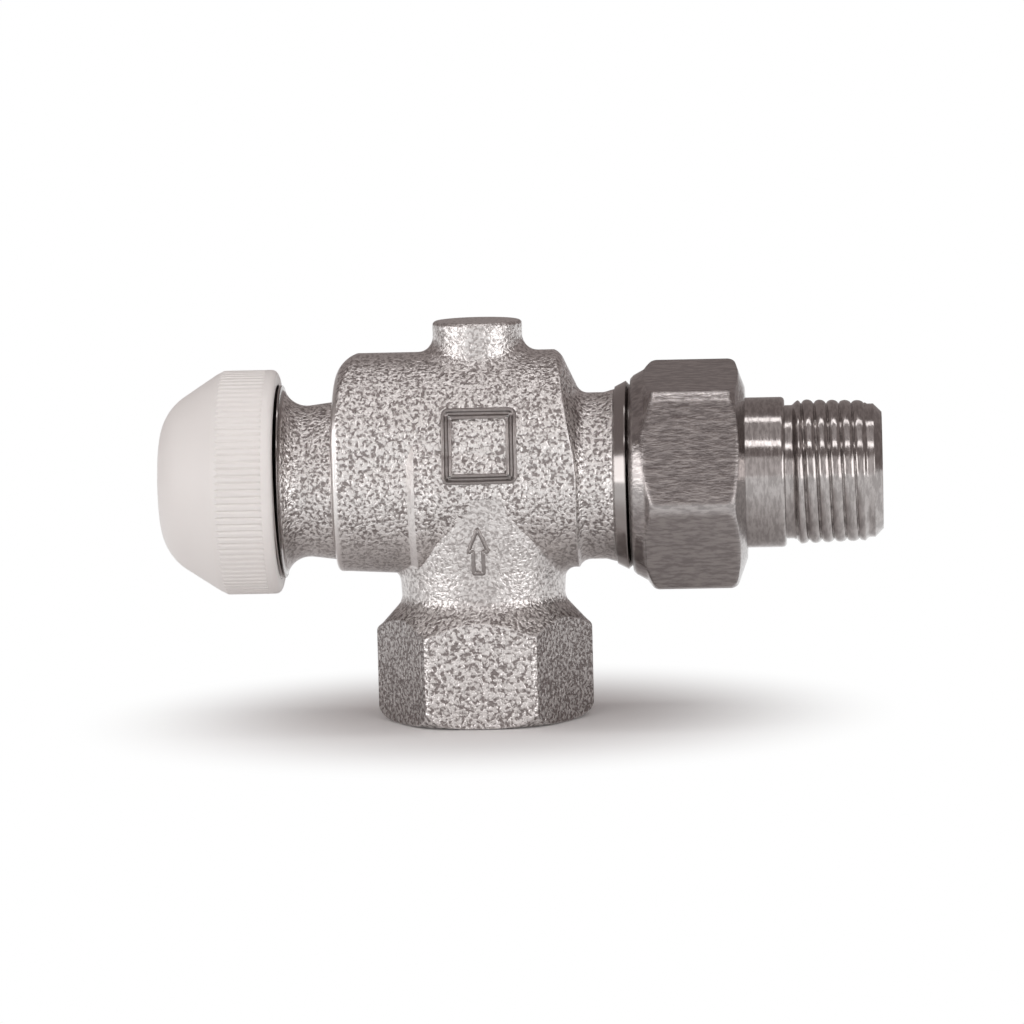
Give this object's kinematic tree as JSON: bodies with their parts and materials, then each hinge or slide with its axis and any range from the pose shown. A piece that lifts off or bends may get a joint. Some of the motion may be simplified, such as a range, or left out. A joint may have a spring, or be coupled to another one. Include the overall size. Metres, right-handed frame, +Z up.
{
  "type": "angled radiator valve",
  "caption": "Angled radiator valve of nickel-plated brass: ribbed screw cap that presses the valve pin, hexagon pipe socket below, union nut with threaded tailpiece at the side.",
  "frame": {"origin": "middle of the pipe socket's mouth, on the face that the valve stands on", "axes": "+Z up the inlet to the valve axis, +X along the valve axis to the radiator tailpiece"},
  "size_m": [0.1049, 0.0334, 0.058],
  "materials": {
    "cast_nickel": "satin",
    "turned_nickel": "polished",
    "white_plastic": "satin",
    "plain_brass": "satin",
    "steel": "satin",
    "rubber": "matte"
  },
  "bodies": {
    "valve": {"valve_body": "cast_nickel", "insert_housing": "plain_brass", "housing_o_ring": "rubber", "gland_screw": "plain_brass", "gland_washer": "rubber", "pin_o_ring_outer": "rubber", "pin_o_ring_inner": "rubber", "spring_seat": "plain_brass", "seat_circlip": "steel", "return_spring": "steel"},
    "spindle_set": {"spindle_pin": "steel", "spindle": "plain_brass", "spindle_clip": "steel", "spring_cup": "plain_brass", "disc_carrier": "plain_brass", "disc_seal": "rubber", "disc_washer": "steel", "disc_screw": "steel"},
    "cap": {"screw_cap": "white_plastic"},
    "tail": {"tailpiece": "turned_nickel"},
    "nut": {"union_nut": "turned_nickel"}
  },
  "joints": [
    {"name": "spindle_travel", "type": "slide", "parent": "valve", "child": "spindle_set", "axis": [-1, 0, 0], "range_m": [0, 0.003], "deforming": ["return_spring"]},
    {"name": "cap_turn", "type": "hinge", "parent": "spindle_set", "child": "cap", "pos_m": [-0.035, 0, 0.035], "axis": [-1, 0, 0], "range_deg": [0, 720]},
    {"name": "tail_withdraw", "type": "slide", "parent": "valve", "child": "tail", "axis": [1, 0, 0], "range_m": [0, 0.0073]},
    {"name": "union_nut_turn", "type": "hinge", "parent": "tail", "child": "nut", "pos_m": [0.03, 0, 0.035], "axis": [1, 0, 0], "range_deg": [0, 1440]}
  ],
  "couplings": [
    {"joint": "spindle_travel", "follows": "cap_turn", "m_per_rad": 0.00023873},
    {"joint": "tail_withdraw", "follows": "union_nut_turn", "m_per_rad": 0.00028875}
  ]
}
